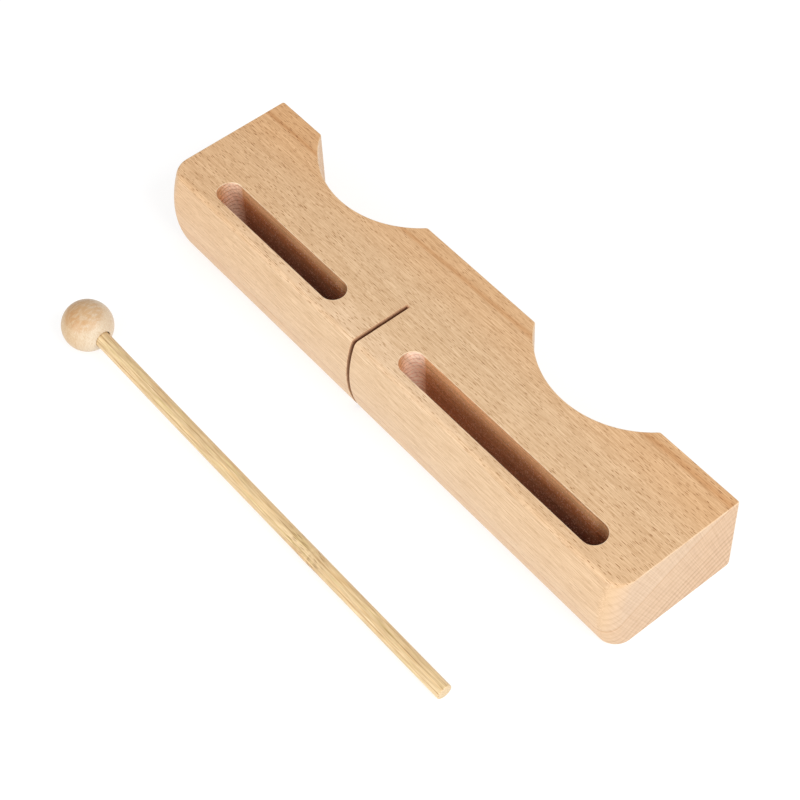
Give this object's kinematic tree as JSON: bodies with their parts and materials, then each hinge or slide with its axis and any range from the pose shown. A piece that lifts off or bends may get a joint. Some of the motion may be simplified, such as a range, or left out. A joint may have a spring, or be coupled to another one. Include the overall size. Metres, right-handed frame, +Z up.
{
  "type": "two-tone slit wood block with mallet",
  "caption": "Beech slit drum block with a long and a short tone slot, a saw kerf between them, scalloped finger grips and a crowned striking side, with its ball mallet lying beside it",
  "frame": {"origin": "middle of the block's underside, half-way along its length and half-way across its width", "axes": "+X along the block from the short, high-toned slot to the long, low-toned slot; +Y towards the back edge with the finger grips; +Z up, out of the face that the slots open on"},
  "size_m": [0.3, 0.1472, 0.045],
  "materials": {
    "beech": "fine-sanded and thinly waxed, satin; short dark flecks along the grain",
    "turned_beech": "turned and sanded, satin",
    "bamboo": "satin, with long fibres and one node mark"
  },
  "bodies": {
    "block": {"tone_block": "beech"},
    "mallet": {"mallet_head": "turned_beech", "mallet_handle": "bamboo"}
  },
  "joints": [
    {"name": "mallet_lift", "type": "slide", "parent": "block", "child": "mallet", "axis": [0, 0, 1], "range_m": [0, 0.12]}
  ]
}
